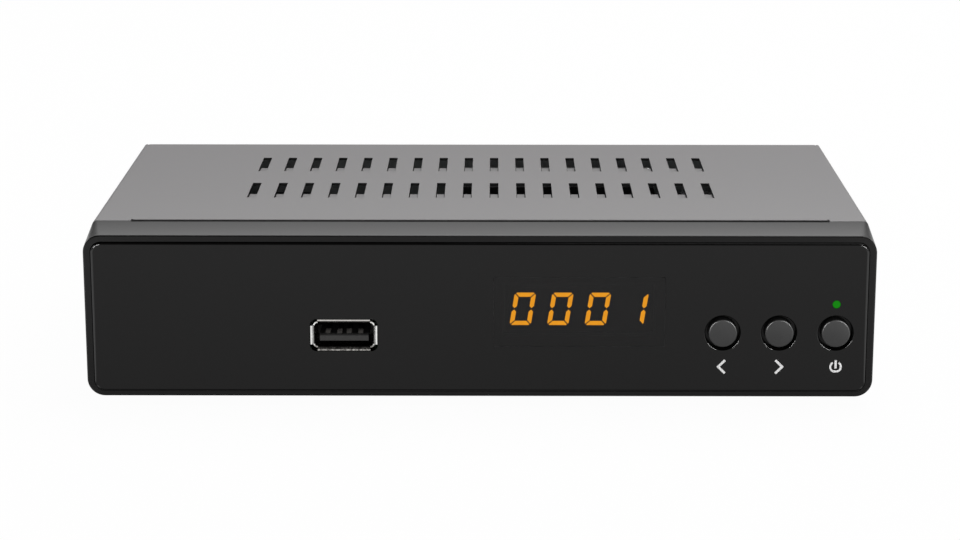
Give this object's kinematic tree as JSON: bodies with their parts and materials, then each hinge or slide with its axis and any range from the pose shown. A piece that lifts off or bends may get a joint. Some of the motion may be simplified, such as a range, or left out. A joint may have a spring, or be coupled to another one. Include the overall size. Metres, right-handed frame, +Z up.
{
  "type": "satellite television receiver",
  "caption": "Low set-top box for satellite television: steel case with lanced vents, smoked front with a socket, orange digits and round push buttons, sockets at the back.",
  "frame": {"origin": "under the middle of the whole object, on the surface it stands on", "axes": "+X to the right seen from the front, the front faces -Y, +Z up"},
  "size_m": [0.1706, 0.1122, 0.0377],
  "materials": {
    "abs_black": "satin black moulded ABS",
    "fascia_acrylic": "polished smoked acrylic",
    "cap_plastic": "fine satin moulded cap",
    "steel_paint": "semi-matt grey powder paint",
    "zinc_steel": "zinc-plated sheet steel",
    "tin_plate": "bright tinned steel",
    "nickel": "nickel-plated brass",
    "gold": "gold-flashed contact",
    "board_green": "glass-fibre board with green solder resist",
    "plastic_black": "moulded black plastic",
    "plastic_white": "natural insulating plastic",
    "plastic_orange": "orange moulded insulator",
    "segment_orange": "lit orange segment",
    "segment_dark": "unlit segment",
    "lamp_green": "lit green lamp",
    "clear_guide": "clear rod lit green",
    "rubber": "black rubber",
    "chip": "moulded epoxy",
    "aluminium": "extruded, dark anodised",
    "capacitor_sleeve": "shrink sleeve over aluminium",
    "screw_black": "black zinc"
  },
  "bodies": {
    "root": {"front_bezel": "abs_black", "fascia_panel": "fascia_acrylic", "switch_housings": "plastic_black", "front_board": "board_green", "front_board_screws": "zinc_steel", "display_housing": "plastic_black", "lit_segments": "segment_orange", "unlit_segments": "segment_dark", "status_led": "lamp_green", "light_guide": "clear_guide", "infrared_receiver": "plastic_black", "link_header": "plastic_black", "link_pins": "gold", "usb_shell": "tin_plate", "usb_tongue": "plastic_black", "usb_contacts": "nickel", "top_cover": "steel_paint", "cover_screws": "screw_black", "base_chassis": "zinc_steel", "rubber_feet": "rubber", "main_board": "board_green", "board_screws": "zinc_steel", "tuner_can": "tin_plate", "tuner_lid": "tin_plate", "aerial_barrel": "nickel", "aerial_insulator": "plastic_white", "aerial_contact": "gold", "aerial_nut": "nickel", "scart_socket": "plastic_black", "scart_contacts": "gold", "hdmi_shell": "tin_plate", "hdmi_tongue": "plastic_black", "audio_block": "plastic_black", "audio_barrel": "nickel", "audio_insulator": "plastic_orange", "power_jack": "plastic_black", "power_pin": "nickel", "processor": "chip", "heatsink": "aluminium", "memory_chips": "chip", "electrolytic_capacitors": "capacitor_sleeve", "power_inductors": "chip", "clock_crystal": "tin_plate"},
    "channel_down": {"channel_down_button": "cap_plastic", "down_switch_plunger": "plastic_black"},
    "channel_up": {"channel_up_button": "cap_plastic", "up_switch_plunger": "plastic_black"},
    "power": {"power_button": "cap_plastic", "power_switch_plunger": "plastic_black"}
  },
  "joints": [
    {"name": "channel_down_press", "type": "slide", "parent": "root", "child": "channel_down", "axis": [0, 1, 0], "range_m": [0, 0.0005], "stiffness_N_per_m": 1500, "springref_m": -0.0003},
    {"name": "channel_up_press", "type": "slide", "parent": "root", "child": "channel_up", "axis": [0, 1, 0], "range_m": [0, 0.0005], "stiffness_N_per_m": 1500, "springref_m": -0.0003},
    {"name": "power_press", "type": "slide", "parent": "root", "child": "power", "axis": [0, 1, 0], "range_m": [0, 0.0005], "stiffness_N_per_m": 1500, "springref_m": -0.0003}
  ]
}
